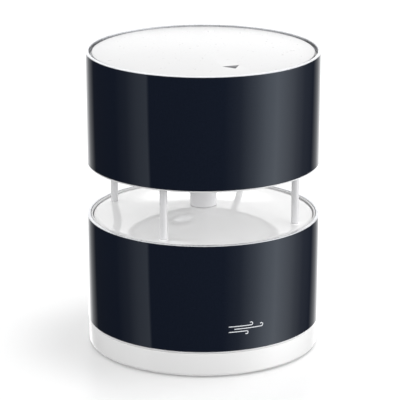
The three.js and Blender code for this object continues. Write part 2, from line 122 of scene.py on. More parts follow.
def rounded(points, closed=True, steps=FILLET_STEPS):
    """Rounds the corners of an outline. A point is (a, b) or (a, b, fillet radius)."""
    count = len(points)
    made = []
    for i, point in enumerate(points):
        here = Vector(point[:2])
        size = point[2] if len(point) > 2 else 0.0
        if size <= 0 or (not closed and i in (0, count - 1)):
            made.append(here)
            continue
        back = Vector(points[i - 1][:2]) - here
        ahead = Vector(points[(i + 1) % count][:2]) - here
        opening = back.angle(ahead)
        reach = min(size / math.tan(opening / 2), 0.49 * back.length, 0.49 * ahead.length)
        arc = reach * math.tan(opening / 2)
        start = here + back.normalized() * reach
        end = here + ahead.normalized() * reach
        centre = here + (back.normalized() + ahead.normalized()).normalized() * math.hypot(arc, reach)
        turn = (start - centre).angle_signed(end - centre)
        for k in range(steps + 1):
            spoke = start - centre
            spoke.rotate(Matrix.Rotation(-turn * k / steps, 2))
            made.append(centre + spoke)
    return [(p.x, p.y) for p in made]


def add_lathe(bm, outline, sides=SIDES, at=(0, 0)):
    """Turns an outline of (radius, height) about a vertical axis, from axis to axis or closed on itself."""
    rings = []
    for r, z in outline:
        if r < 1e-8:
            rings.append([bm.verts.new((at[0], at[1], z))])
            continue
        angles = [2 * math.pi * k / sides for k in range(sides)]
        rings.append([bm.verts.new((at[0] + r * math.cos(a), at[1] + r * math.sin(a), z)) for a in angles])
    open_ended = len(rings[0]) == 1 and len(rings[-1]) == 1
    pairs = list(zip(rings, rings[1:])) + ([] if open_ended else [(rings[-1], rings[0])])
    for one, two in pairs:
        for k in range(sides):
            n = (k + 1) % sides
            corners = [one[k % len(one)], one[n % len(one)], two[n % len(two)], two[k % len(two)]]
            unique = list(dict.fromkeys(corners))
            if len(unique) > 2:
                bm.faces.new(unique)


def lathe(name, outline, materials, sides=SIDES, at=(0, 0)):
    bm = bmesh.new()
    add_lathe(bm, outline, sides, at)
    return finish_mesh(name, bm, materials)


def add_rod(bm, r, z0, z1, at, sides=32, edge=0.0):
    outline = rounded([(0, z0), (r, z0, edge), (r, z1, edge), (0, z1)], closed=False, steps=2)
    add_lathe(bm, outline, sides, at)


def add_box(bm, lo, hi, edge=0.0, turn=0.0):
    """A block with its edges bevelled, turned about the gauge's axis by an angle in degrees."""
    made = bmesh.ops.create_cube(bm, size=1.0)["verts"]
    size = Vector(hi) - Vector(lo)
    bmesh.ops.scale(bm, vec=size, verts=made)
    bmesh.ops.translate(bm, vec=(Vector(lo) + Vector(hi)) / 2, verts=made)
    bmesh.ops.rotate(bm, cent=(0, 0, 0), matrix=Matrix.Rotation(math.radians(turn), 3, "Z"), verts=made)
    if edge:
        edges = list({e for v in made for e in v.link_edges})
        bmesh.ops.bevel(bm, geom=edges, offset=edge, segments=2, affect="EDGES", profile=0.5)


def add_skin(bm, rings):
    """Faces from each ring of corners to the next, closed at both ends."""
    for one, two in zip(rings, rings[1:]):
        for k in range(len(one)):
            n = (k + 1) % len(one)
            bm.faces.new([one[k], one[n], two[n], two[k]])
    bm.faces.new(rings[0])
    bm.faces.new(rings[-1])


def add_prism(bm, outline, z0, z1):
    """A flat outline of (x, y) points drawn up from z0 to z1."""
    add_skin(bm, [[bm.verts.new((x, y, z)) for x, y in outline] for z in (z0, z1)])


def add_arc_bar(bm, section, a0, a1, rise=0.0, steps=24):
    """A section of (radius, height) swept round the axis from a0 to a1, in degrees, climbing by rise."""
    rings = []
    for k in range(steps + 1):
        a = math.radians(a0 + (a1 - a0) * k / steps)
        lift = rise * k / steps
        rings.append([bm.verts.new((r * math.cos(a), r * math.sin(a), z + lift)) for r, z in section])
    add_skin(bm, rings)


def add_tube(bm, points, r, sides=12):
    """A round wire along a list of points, closed at both ends."""
    rings = []
    side = None
    for i, point in enumerate(points):
        ahead = points[min(i + 1, len(points) - 1)] - points[max(i - 1, 0)]
        ahead.normalize()
        start = side or ahead.orthogonal()
        side = (start - ahead * start.dot(ahead)).normalized()
        over = ahead.cross(side)
        turns = [2 * math.pi * k / sides for k in range(sides)]
        rings.append([bm.verts.new(point + (side * math.cos(a) + over * math.sin(a)) * r) for a in turns])
    add_skin(bm, rings)


def profile(base, *points):
    """An outline in metres from (radius, height above the base, fillet) in millimetres."""
    return [(p[0] * MM, base + p[1] * MM, *(f * MM for f in p[2:])) for p in points]


def around(r, *degrees):
    """Points on a circle about the gauge's axis, from a radius in millimetres."""
    return [Vector((r * MM * math.cos(math.radians(a)), r * MM * math.sin(math.radians(a)))) for a in degrees]


def rods(spots, r, z0, z1, edge=0.0, sides=40):
    """A builder of equal rods at several spots, in millimetres."""
    def build(bm):
        for spot in spots:
            add_rod(bm, r * MM, z0 * MM, z1 * MM, spot, sides, edge * MM)

    return build


def boxes(*blocks, edge=0.0, turns=(0,)):
    """A builder of blocks (x0, x1, y0, y1, z0, z1) in millimetres, each repeated at several turns."""
    def build(bm):
        for x0, x1, y0, y1, z0, z1 in blocks:
            for turn in turns:
                add_box(bm, Vector((x0, y0, z0)) * MM, Vector((x1, y1, z1)) * MM, edge * MM, turn)

    return build


def cross(spot, reach, half, top, depth):
    """Builders of two slots that cross over a spot. They cut one after the other, because they overlap."""
    x, y = spot / MM
    return [
        boxes((x - w, x + w, y - d, y + d, top / MM - depth, top / MM + 1))
        for w, d in ((reach, half), (half, reach))
    ]


def arc_bars(section, width, rise, starts):
    """A builder of equal arc bars from several angles, with a section of (radius, height) in millimetres."""
    def build(bm):
        for start in starts:
            add_arc_bar(bm, [(r * MM, z * MM) for r, z in section], start, start + width, rise * MM)

    return build


def built(name, build, materials=()):
    """An object whose mesh comes from a builder."""
    bm = bmesh.new()
    build(bm)
    return finish_mesh(name, bm, materials)


def combine(target, operation, *builders):
    """Joins or cuts each helper shape into the target's mesh, one after another."""
    for build in builders:
        helper = built("helper", build)
        step = target.modifiers.new("step", "BOOLEAN")
        step.operation = operation
        step.solver = "EXACT"
        step.object = helper
        bpy.context.view_layer.update()
        cut = target.evaluated_get(bpy.context.evaluated_depsgraph_get())
        result = bpy.data.meshes.new_from_object(cut)
        target.modifiers.clear()
        old = target.data
        target.data = result
        bpy.data.meshes.remove(old)
        bpy.data.objects.remove(helper)
    target.data.shade_smooth()
    target.data.set_sharp_from_angle(angle=SMOOTH_ANGLE)
    return target


# ---------------------------------------------------------------- materials
class Surface:
    """A node material whose colour, roughness and relief vary over the surface."""

    def __init__(self, name, roughness, metallic=0.0, **sockets):
        self.material = bpy.data.materials.new(name)
        self.material.use_nodes = True
        self.tree = self.material.node_tree
        self.shader = self.tree.nodes["Principled BSDF"]
        self.shader.inputs["Roughness"].default_value = roughness
        self.shader.inputs["Metallic"].default_value = metallic
        for socket, value in sockets.items():
            self.shader.inputs[socket.replace("_", " ")].default_value = value
        self.place = self.tree.nodes.new("ShaderNodeTexCoord").outputs["Object"]
        self.relief = None

    def node(self, kind, links=(), **values):
        made = self.tree.nodes.new(kind)
        for key, value in values.items():
            if hasattr(made, key):
                setattr(made, key, value)
            else:
                made.inputs[key].default_value = value
        for socket, source in dict(links).items():
            self.tree.links.new(source, made.inputs[socket])
        return made

    def noise(self, scale, detail=3.0, stretch=None):
        place = self.place
        if stretch:
            place = self.node("ShaderNodeMapping", {"Vector": place}, Scale=stretch).outputs["Vector"]
        made = self.node("ShaderNodeTexNoise", {"Vector": place}, Scale=scale, Detail=detail, Roughness=0.55)
        return made.outputs["Fac"]

    def colour(self, value, *stops):
        """Colours the surface between two stops of (value, colour)."""
        made = self.node("ShaderNodeValToRGB", {"Fac": value})
        for element, (position, colour) in zip(made.color_ramp.elements, stops):
            element.position = position
            element.color = (*colour, 1.0)
        self.tree.links.new(made.outputs["Color"], self.shader.inputs["Base Color"])

    def rough(self, value, least, most):
        span = {"From Min": 0.3, "From Max": 0.7, "To Min": least, "To Max": most}
        made = self.node("ShaderNodeMapRange", {"Value": value}, **span)
        self.tree.links.new(made.outputs["Result"], self.shader.inputs["Roughness"])

    def bump(self, height, depth, strength=0.3):
        """Adds relief of the given depth. Calls add up, the last one on top."""
        made = self.node("ShaderNodeBump", {"Height": height}, Distance=depth, Strength=strength)
        if self.relief:
            self.tree.links.new(self.relief, made.inputs["Normal"])
        self.relief = made.outputs["Normal"]
        self.tree.links.new(self.relief, self.shader.inputs["Normal"])


def tint(rgb, factor):
    return tuple(min(1.0, c * factor) for c in rgb)


def plastic(name, rgb, roughness, grain=900, grain_depth=0.02 * MM, spread=0.03, **sockets):
    """Moulded plastic: a faint cloud in the colour, a fine grain and uneven gloss."""
    s = Surface(name, roughness, **sockets)
    cloud = s.noise(28, 2)
    fine = s.noise(grain, 3)
    s.colour(cloud, (0.3, tint(rgb, 1 - spread)), (0.7, tint(rgb, 1 + spread)))
    s.rough(s.noise(700, 3), roughness * 0.85, roughness * 1.15)
    s.bump(fine, grain_depth, 0.15)
    return s.material


def painted_sleeve():
    """Deep navy lacquer over metal: metallic depth, slight orange peel and hairline wipe marks."""
    s = Surface("navy_lacquer", 0.035, IOR=1.5, Specular_Tint=(0.80, 0.90, 1.0, 1.0))
    flake = s.noise(5200, 2)
    s.colour(flake, (0.35, (0.0062, 0.0090, 0.0172)), (0.65, (0.0082, 0.0114, 0.0212)))
    wipes = s.noise(260, 4, stretch=(1, 1, 9))
    s.rough(wipes, 0.025, 0.05)
    s.bump(s.noise(420, 2), 0.004 * MM, 0.12)
    return s.material


def bare_rim():
    """The machined edge of the sleeve: bright aluminium with fine turning marks."""
    s = Surface("machined_edge", 0.25, metallic=1.0)
    s.colour(s.noise(300, 3), (0.3, (0.60, 0.61, 0.63)), (0.7, (0.70, 0.71, 0.73)))
    s.rough(s.noise(2500, 2, stretch=(1, 1, 0.2)), 0.2, 0.34)
    s.bump(s.noise(3000, 2), 0.003 * MM, 0.2)
    return s.material


def metal(name, rgb, roughness, scale=900, stretch=None):
    s = Surface(name, roughness, metallic=1.0)
    s.colour(s.noise(60, 4), (0.3, tint(rgb, 0.86)), (0.7, tint(rgb, 1.06)))
    s.rough(s.noise(scale, 3, stretch), roughness * 0.7, roughness * 1.4)
    s.bump(s.noise(scale * 2, 2, stretch), 0.008 * MM, 0.2)
    return s.material


def rubber(name, rgb, grain=1500):
    s = Surface(name, 0.7, IOR=1.45)
    s.colour(s.noise(180, 5), (0.3, tint(rgb, 0.8)), (0.7, tint(rgb, 1.3)))
    s.rough(s.noise(500, 4), 0.55, 0.85)
    s.bump(s.noise(grain, 4), 0.04 * MM, 0.35)
    return s.material


def circuit(name):
    """Green solder mask with copper tracks that show through it."""
    s = Surface(name, 0.3, IOR=1.5)
    tracks = s.node(
        "ShaderNodeTexBrick", {"Vector": s.place}, Scale=190, Color1=(0.016, 0.10, 0.045, 1),
        Color2=(0.020, 0.12, 0.055, 1), Mortar=(0.05, 0.22, 0.09, 1),
        **{"Mortar Size": 0.09, "Mortar Smooth": 0.05},
    )
    s.tree.links.new(tracks.outputs["Color"], s.shader.inputs["Base Color"])
    s.rough(s.noise(400, 3), 0.22, 0.4)
    s.bump(tracks.outputs["Fac"], 0.03 * MM, 0.4)
    return s.material


def foam(name):
    s = Surface(name, 0.95, Sheen_Weight=0.2)
    cells = s.node("ShaderNodeTexVoronoi", {"Vector": s.place}, Scale=1400).outputs["Distance"]
    # Each pore is painted darker towards its bottom, where the bump sinks it: painted shade in the hollows.
    s.colour(cells, (0.0, (0.012, 0.012, 0.014)), (0.6, (0.06, 0.06, 0.066)))
    s.bump(cells, 0.35 * MM, 0.8)
    return s.material


WHITE = (0.76, 0.76, 0.765)
SATIN_WHITE = (0.68, 0.68, 0.683)
navy = painted_sleeve()
rim_metal = bare_rim()
gloss_white = plastic("gloss_white", (0.9, 0.9, 0.9), 0.025, 350, 0.004 * MM, spread=0.006, IOR=1.75)
satin_white = plastic("satin_white", SATIN_WHITE, 0.32, 1100, 0.002 * MM, spread=0.004, IOR=1.46)
base_white = plastic("base_white", (0.73, 0.73, 0.73), 0.16, 900, 0.006 * MM, spread=0.006, IOR=1.47)
# The posts and the column get a white a little darker than the shells': white plastic with painted shade for
# the shaded gap between the drums.
post_white_with_painted_shade = plastic("post_white_with_painted_shade", (0.63, 0.63, 0.64), 0.13, 700, 0.006 * MM, IOR=1.6)
grey_plastic = plastic("grey_plastic", (0.10, 0.105, 0.115), 0.45, grain=1600, grain_depth=0.05 * MM)
black_plastic = plastic("black_plastic", (0.012, 0.012, 0.013), 0.4, grain=2200, grain_depth=0.04 * MM)
cable_jacket = plastic("cable_jacket", (0.05, 0.053, 0.06), 0.42, grain=1300)
mark_ink = plastic("mark_ink", (0.03, 0.033, 0.04), 0.4, grain=1800)
print_ink = plastic("print_ink", (0.62, 0.64, 0.67), 0.35, grain=2500, grain_depth=0.004 * MM)
clear = Surface("clear_acrylic", 0.08, IOR=1.49, Transmission_Weight=0.9)
clear.colour(clear.noise(90), (0.3, (0.88, 0.92, 0.95)), (0.7, (0.96, 0.98, 1.0)))
clear.bump(clear.noise(700), 0.01 * MM, 0.1)
black_rubber = rubber("black_rubber", (0.016, 0.016, 0.018))
dark_foam = foam("dark_foam")
brass = metal("turned_brass", (0.62, 0.43, 0.17), 0.24, 1400, (1, 1, 6))
steel = metal("nickel_plate", (0.68, 0.69, 0.70), 0.24, 700)
can_metal = metal("spun_can", (0.74, 0.75, 0.77), 0.3, 1600, (1, 1, 5))
cell_jacket = plastic("cell_jacket", (0.05, 0.11, 0.17), 0.22, grain=800, IOR=1.5)
solder_mask = circuit("solder_mask")

# The material of every CAD node, by the record's slot.
SLOT_MATERIALS = {
    "navy_sleeve": navy,
    "white_plastic": satin_white,
    "white_post": post_white_with_painted_shade,
    "grey_plastic": grey_plastic,
    "cable_jacket": cable_jacket,
    "black_rubber": black_rubber,
    "grey_foam": dark_foam,
    "brass_insert": brass,
    "plated_steel": steel,
    "sensor_can": can_metal,
    "circuit_board": solder_mask,
    "black_plastic": black_plastic,
    "cell_wrap": cell_jacket,
    "mark_grey": mark_ink,
    "clear_plastic": clear.material,
}
SLOT_OF = {part["node"]: part["material_slot"] for part in frame["record"]["subparts"]}
for node_name, node_object in frame["nodes"].items():
    node_object.data.materials.clear()
    node_object.data.materials.append(SLOT_MATERIALS[SLOT_OF[node_name]])


def place(piece, node, body="housing"):
    """Lets a piece ride on its body in place of a CAD node."""
    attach(piece, body)
    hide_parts(node)
    return piece


# ---------------------------------------------------------------- metal sleeves
SLEEVE_WALL = 1.2 * MM
BARE_TOP = 0.28 * MM  # how far the bare metal comes down from the upper edge
BARE_FOOT = 0.12 * MM


def sleeve(node):
    """A lacquered tube, bare metal inside and on its two cut edges."""
    r = radius(node) - INK
    z0 = low(node).z
    z1 = high(node).z
    inner = r - SLEEVE_WALL
    outline = rounded(
        [(inner, z0), (r, z0, 0.3 * MM), (r, z1, 0.3 * MM), (inner, z1, 0.2 * MM)], steps=5
    )
    piece = lathe(f"{node}_skin", outline, [navy, rim_metal])
    for face in piece.data.polygons:
        inside = face.center.to_2d().length < r - SLEEVE_WALL / 2
        if inside or face.center.z > z1 - BARE_TOP or face.center.z < z0 + BARE_FOOT:
            face.material_index = 1
    place(piece, node)


for sleeve_node in ("lower_sleeve", "upper_sleeve"):
    sleeve(sleeve_node)

# ---------------------------------------------------------------- domed deck
DECK_R = radius("lower_deck")
COLUMN_HOLE_R = 3.9 * MM


def dome_z(r):
    """The same bell as the CAD deck: level in the middle and at the edge."""
    edge = 48.75 * MM
    rise = 3.1 * MM
    return edge + rise * (1 + math.cos(math.pi * r / DECK_R)) / 2


def deck():
    bottom = low("deck_seal").z + 0.65 * MM
    crown = [COLUMN_HOLE_R + (DECK_R - COLUMN_HOLE_R - 0.4 * MM) * k / 28 for k in range(29)]
    top = [(r, dome_z(r)) for r in crown]
    under = [(r, dome_z(r) - 2 * MM) for r in reversed(crown) if r < 35 * MM]
    edge = [(DECK_R, dome_z(DECK_R) - 0.25 * MM), (DECK_R, bottom), (37.5 * MM, bottom)]
    piece = lathe("domed_deck", top + edge + under, [gloss_white])
    pads = rods(POST_SPOTS, 1.8, 46.9, 49.0, 0.1)
    sockets = rods(POST_SPOTS, 2.5, 44.7, 47.6, 0.1)
    combine(piece, "UNION", pads, sockets)
    combine(piece, "DIFFERENCE", rods(POST_SPOTS, 1.15, 44, 50, sides=32))
    place(piece, "lower_deck")


deck()

# ---------------------------------------------------------------- posts and column
def post(node):
    """A post whose upper end is threaded for its nut. Heights are in millimetres above its lower end."""
    foot, roof, thread_from, pitch = 4.25, 24.65, 27.6, 0.4
    top = (high(node).z - low(node).z) / MM
    rolled = []
    rise = thread_from
    while rise < top - pitch:
        rolled += [(0.87, rise + pitch / 4), (1, rise + pitch / 2)]
        rise += pitch
    outline = rounded(profile(
        low(node).z, (0, 0), (1, 0, 0.25), (1, foot), (1.35, foot, 0.1), (1.35, roof, 0.1), (1, roof),
        (1, thread_from), *rolled, (0.8, top), (0, top),
    ), closed=False)
    place(lathe(f"{node}_rod", outline, [post_white_with_painted_shade], 40, middle(node).to_2d()), node)


for post_node in POSTS:
    post(post_node)


def column():
    """A tube with a spigot at each end. Heights are in millimetres above its lower end."""
    node = "centre_column"
    top = (high(node).z - low(node).z) / MM
    seat = (dome_z(3.6 * MM) - low(node).z) / MM + 0.1
    roof = (69.4 * MM - low(node).z) / MM
    outline = rounded(profile(
        low(node).z, (2.4, 0, 0.2), (3.6, 0, 0.2), (3.6, seat), (4.85, seat, 0.15), (4.85, roof, 0.15),
        (3.6, roof), (3.6, top, 0.2), (2.4, top, 0.2),
    ))
    place(lathe("column_tube", outline, [post_white_with_painted_shade], 96), node)


column()

# ---------------------------------------------------------------- twist-off base
RIDGE_ARC = 80
RIDGE_RISE = 2.0
RIDGE_STARTS = (0, 120, 240)


def base():
    outline = rounded(profile(
        low("base_cap").z,
        (0, 11.3), (5, 11.3), (5, 1.1), (6.3, 1.1), (6.3, 0, 0.3), (33.4, 0, 0.25), (33.4, 0.9),
        (38.6, 0.9), (38.6, 0, 0.25), (42.2, 0, 1.1), (42.2, 8.5, 0.35), (39.9, 8.5, 0.3),
        (39.9, 2.5, 0.4), (37.9, 2.5, 0.4), (37.9, 9.7, 0.12), (36.95, 9.7), (36.95, 11.9),
        (37.9, 11.9, 0.12), (37.9, 17.3, 0.4), (35.9, 17.3, 0.4), (35.9, 2.4, 0.8), (8.5, 2.4, 0.8),
        (8.5, 12.5, 0.4), (0, 12.5),
    ), closed=False, steps=5)
    piece = lathe("base_moulding", outline, [base_white])
    spokes = boxes((7.5, 36.2, -0.7, 0.7, 2.4, 13), edge=0.15, turns=range(0, 360, 60))
    ridge = [(37.5, 14.3), (38.8, 14.4), (39, 14.6), (39, 15.3), (38.8, 15.5), (37.5, 15.6)]
    combine(piece, "UNION", spokes, arc_bars(ridge, RIDGE_ARC, RIDGE_RISE, RIDGE_STARTS))
    place(piece, "base_cap", "base")


base()


def foot():
    grooves = []
    for r in (34.6, 35.6, 36.6):
        grooves += [(r, 0, 0.08), (r + 0.25, 0.3), (r + 0.5, 0.3), (r + 0.75, 0, 0.08)]
    outline = profile(
        low("foot_ring").z, (33.7, 0, 0.3), *grooves, (38.3, 0, 0.3), (38.3, 1.3, 0.1), (33.7, 1.3, 0.1)
    )
    place(lathe("foot_ring_rubber", rounded(outline), [black_rubber]), "foot_ring", "base")


foot()


def insert():
    """The brass socket, with the inside thread of a quarter-inch screw."""
    node = "tripod_insert"
    pitch = 1.27
    turns = 8
    bm = bmesh.new()
    add_lathe(bm, rounded(profile(
        low(node).z, (3.2, 0, 0.35), (6, 0, 0.15), (6, 0.7, 0.1), (4.7, 0.7), (4.7, 10.9, 0.25),
        (3.2, 10.9, 0.3),
    )), 72)
    tooth = profile(low(node).z, (3.25, 0.15), (2.75, 0.52), (2.75, 0.68), (3.25, 1.05))
    add_arc_bar(bm, tooth, 0, 360 * turns, turns * pitch * MM * 0.95, turns * 28)
    place(finish_mesh("threaded_socket", bm, [brass]), node, "base")


insert()


def rubber_ring(piece_name, node, inner, outer, thick, body="housing"):
    """A flat gasket with round edges, or an O-ring where it is as thick as it is wide."""
    edge = min(outer - inner, thick) * 0.42
    outline = profile(
        low(node).z, (inner, 0, edge), (outer, 0, edge), (outer, thick, edge), (inner, thick, edge)
    )
    place(lathe(piece_name, rounded(outline, steps=5), [black_rubber]), node, body)


rubber_ring("base_o_ring", "base_seal", 37.35, 39.05, 1.7, "seal")
rubber_ring("deck_gasket", "deck_seal", 38.95, 39.95, 0.6)
rubber_ring("top_gasket", "top_seal", 39.35, 40.05, 0.6)

# ---------------------------------------------------------------- inner shells
TRAY_SCREWS = around(36.9, 0, 90, 180)
BOARD_POSTS = around(33, 0, 90, 180, 270)
PORTS = [middle(can).to_2d() for can in TRANSDUCERS]


def lower_shell():
    outline = rounded(profile(
        low("lower_shell").z,
        (39.3, 0, 0.25), (42.2, 0, 0.2), (42.2, 0.5, 0.2), (41.1, 0.5), (41.1, 40.05, 0.15),
        (40.4, 40.05, 0.2), (40.4, 37.3), (38.8, 37.3, 0.2), (38.8, 36.3, 0.3), (39.3, 35.5, 0.3),
    ))
    piece = lathe("lower_shell_moulding", outline, [satin_white])
    ridge = [(39.6, 12.8), (38.4, 12.9), (38.2, 13.1), (38.2, 13.8), (38.4, 14.0), (39.6, 14.1)]
    combine(
        piece, "UNION", rods(TRAY_SCREWS, 2.8, 27, 33, 0.3),
        arc_bars(ridge, RIDGE_ARC, RIDGE_RISE, RIDGE_STARTS),
    )
    combine(piece, "DIFFERENCE", rods(TRAY_SCREWS, 1, 28, 34))
    place(piece, "lower_shell")


lower_shell()


def upper_shell():
    outline = rounded(profile(
        low("upper_shell").z,
        (3.9, 0.9, 0.2), (39.6, 0.9, 0.4), (40.2, 0, 0.25), (42.2, 0, 0.2), (42.2, 0.45, 0.2),
        (41.1, 0.45), (41.1, 39.4, 0.2), (39.3, 39.4, 0.2), (39.3, 35.7), (40.0, 35.7), (40.0, 33.7),
        (39.3, 33.7), (39.3, 2.9, 0.8), (3.9, 2.9, 0.2),
    ))
    piece = lathe("upper_shell_moulding", outline, [satin_white])
    combine(
        piece, "UNION",
        rods(PORTS, 7.6, 71, 76, 0.3), rods(POST_SPOTS, 2.9, 71, 73.05, 0.2),
        rods(BOARD_POSTS, 2.6, 71, 81.95, 0.3),
    )
    combine(
        piece, "DIFFERENCE",
        rods(PORTS, 6.1, 60, 80, sides=64), rods(POST_SPOTS, 1.2, 60, 80), rods(BOARD_POSTS, 1, 75, 90),
    )
    place(piece, "upper_shell")


upper_shell()

# ---------------------------------------------------------------- top plate and its mark
MARK = middle("north_mark")


def arrow(grow):
    """The mark's outline, widened by grow: a flat arrowhead that points to the front."""
    half, length = (high("north_mark") - low("north_mark")).to_2d() / 2
    return [
        (MARK.x - half - 2 * grow, MARK.y + length + grow), (MARK.x, MARK.y - length - 1.6 * grow),
        (MARK.x + half + 2 * grow, MARK.y + length + grow),
    ]


def top_plate():
    top = high("top_plate").z
    outline = rounded(profile(
        top, (0, 0), (40.15, 0, 0.25), (40.15, -0.8, 0.1), (38.9, -0.8), (38.9, -3.1, 0.2),
        (37.4, -3.1, 0.2),
        (37.4, -1.8, 0.3), (0, -1.8),
    ), closed=False)
    piece = lathe("top_cover", outline, [satin_white])
    tongue = [(37.5, 101.2), (37.8, 101), (38.6, 101), (38.9, 101.3), (38.9, 106.7), (37.5, 106.7)]
    hook = [(38.6, 102.6), (39.6, 102.8), (39.7, 103), (39.7, 103.2), (38.6, 103.9)]
    starts = (-6, 84, 174, 264)
    combine(piece, "UNION", arc_bars(tongue, 12, 0, starts), arc_bars(hook, 12, 0, starts))
    combine(piece, "DIFFERENCE", lambda bm: add_prism(bm, arrow(0.15 * MM), top - 0.5 * MM, top + 1 * MM))
    place(piece, "top_plate")


top_plate()


def north_mark():
    """The inlaid arrowhead, with a bevelled upper edge."""
    bm = bmesh.new()
    add_prism(bm, arrow(0), low("north_mark").z, high("north_mark").z)
    upper = [e for e in bm.edges if all(v.co.z > MARK.z for v in e.verts)]
    bmesh.ops.bevel(bm, geom=upper, offset=0.06 * MM, segments=2, affect="EDGES", profile=0.5)
    place(finish_mesh("front_arrow", bm, [mark_ink]), "north_mark")


north_mark()

# ---------------------------------------------------------------- transducers
def transducer(can, boot):
    x, y = middle(can).to_2d()
    face = low(can).z
    outline = rounded(profile(
        face,
        (0, 0.45), (0.7, 0.45, 0.1), (0.9, 0.8), (1.5, 0.8), (1.7, 0.5, 0.1), (2.3, 0.5, 0.1),
        (2.5, 0.8), (3.1, 0.8), (3.3, 0.5, 0.1), (3.8, 0.5, 0.1), (4.1, 0, 0.12), (4.9, 0, 0.25),
        (4.9, 7.1, 0.3), (0, 7.1),
    ), closed=False, steps=3)
    bm = bmesh.new()
    add_lathe(bm, outline, 72, (x, y))
    for dx in (-2.5 * MM, 2.5 * MM):
        add_rod(bm, 0.4 * MM, face + 7 * MM, high(can).z, (x + dx, y), 16)
    place(finish_mesh(f"{can}_can", bm, [can_metal]), can)
    ribs = []
    for z in (1.6, 3.2, 4.8, 6.4):
        ribs += [(5.78, z, 0.1), (5.9, z + 0.3, 0.1), (5.78, z + 0.6, 0.1)]
    outline = rounded(profile(
        low(boot).z,
        (5.1, 0, 0.15), (6.8, 0, 0.15), (6.8, 0.35, 0.12), (5.78, 0.35), *ribs, (5.78, 7.75, 0.15),
        (5.1, 7.75, 0.15),
    ), steps=3)
    place(lathe(f"{boot}_rubber", outline, [black_rubber], 72, (x, y)), boot)


for number, transducer_node in enumerate(TRANSDUCERS, 1):
    transducer(transducer_node, f"transducer_boot_{number}")

# ---------------------------------------------------------------- the printed mark
def wind_stroke(v, start, length, curl):
    """A level line that ends in a curl: points of (distance round the sleeve, height), in millimetres."""
    line = [(start + length * k / 12, v) for k in range(13)]
    turns = [math.radians(10 * k) for k in range(1, 24)]
    hook = [(start + length + abs(curl) * math.sin(a), v + curl * (1 - math.cos(a))) for a in turns]
    return line + hook


def add_ink(bm, path, width, r0, r1):
    """A printed line that follows a path round a cylinder, from radius r0 out to r1."""
    rings = []
    for i, point in enumerate(path):
        here = Vector(point)
        along = Vector(path[min(i + 1, len(path) - 1)]) - Vector(path[max(i - 1, 0)])
        side = Vector((-along.y, along.x)).normalized() * width / 2
        edges = [here + side, here - side]
        corners = [(p, r) for p, r in ((edges[0], r0), (edges[1], r0), (edges[1], r1), (edges[0], r1))]
        turns = [(p.x / r1 - math.pi / 2, p.y, r) for p, r in corners]
        rings.append([bm.verts.new((r * math.cos(a), r * math.sin(a), z)) for a, z, r in turns])
    add_skin(bm, rings)


def front_print():
    """Wind strokes: a generic mark where the front of the lower sleeve is printed."""
    z = low("lower_sleeve").z + 8.2 * MM
    r = radius("lower_sleeve")
    bm = bmesh.new()
    for v, start, length, curl in ((1.0, -7.2, 8.4, 0.55), (0, -5.2, 10.4, 0.6), (-1.0, -7.2, 6.6, -0.55)):
        path = [(u * MM, z + h * MM) for u, h in wind_stroke(v, start, length, curl)]
        add_ink(bm, path, 0.34 * MM, r - 2 * INK, r)
    piece = finish_mesh("front_wind_print", bm, [print_ink])
    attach(piece, "housing")


front_print()

# ---------------------------------------------------------------- cells, contacts and foam pad
def foam_pad():
    """The pad under the cells: a crowned foam disc that the four cells press into."""
    node = "cell_retainer_pad"
    lowest = low(node)
    top = high(node).z
    pad_r = radius(node)
    bm = bmesh.new()
    wide = pad_r / MM
    side = profile(lowest.z, (0, 0), (wide - 1.2, 0), (wide - 0.3, 0.6), (wide, 2.2), (wide - 0.2, 4))
    crown = [(pad_r * k / 12, top - 0.2 * MM) for k in range(11, -1, -1)]
    add_lathe(bm, side + [(pad_r - 1.4 * MM, top - 0.25 * MM)] + crown, 96)
    cell_r = (high("cell_1").z - low("cell_1").z) / 2
    rows = [middle(c).x for c in CELLS]
    for vert in bm.verts:
        if vert.co.z > top - 0.3 * MM:
            across = min(abs(vert.co.x - row) for row in rows)
            vert.co.z = top - 0.55 * MM + 0.5 * MM * min(1.0, (across / cell_r) ** 2)
    piece = place(finish_mesh("foam_cell_pad", bm, [dark_foam]), node, "base")


foam_pad()


def lay_along_y(piece, centre, flip):
    """Turns a lathe made about Z to lie along Y, its upper end towards +Y, or -Y if flipped."""
    piece.data.transform(Matrix.Rotation(math.radians(90 if flip else -90), 4, "X"))
    piece.data.transform(Matrix.Translation(centre))


def cell(node, flip):
    outline = rounded(profile(
        0,
        (0, -24.8), (5.6, -24.8, 0.3), (5.9, -24.4), (6.6, -24.4), (7, -24.1, 0.3), (7, 22.9, 0.5),
        (6.3, 23.4, 0.3), (5.6, 23.1), (3.0, 23.3, 0.2), (2.75, 23.9), (2.75, 24.8, 0.3), (0, 24.8),
    ), closed=False)
    piece = lathe(f"{node}_body", outline, [cell_jacket, steel], 72)
    for face in piece.data.polygons:
        z = face.center.z
        bare = z < -24.2 * MM or (z > 23.0 * MM and face.center.to_2d().length < 6.0 * MM)
        face.material_index = 1 if bare else 0
    lay_along_y(piece, middle(node), flip)
    place(piece, node)


for number, cell_node in enumerate(CELLS):
    cell(cell_node, number % 2 == 1)


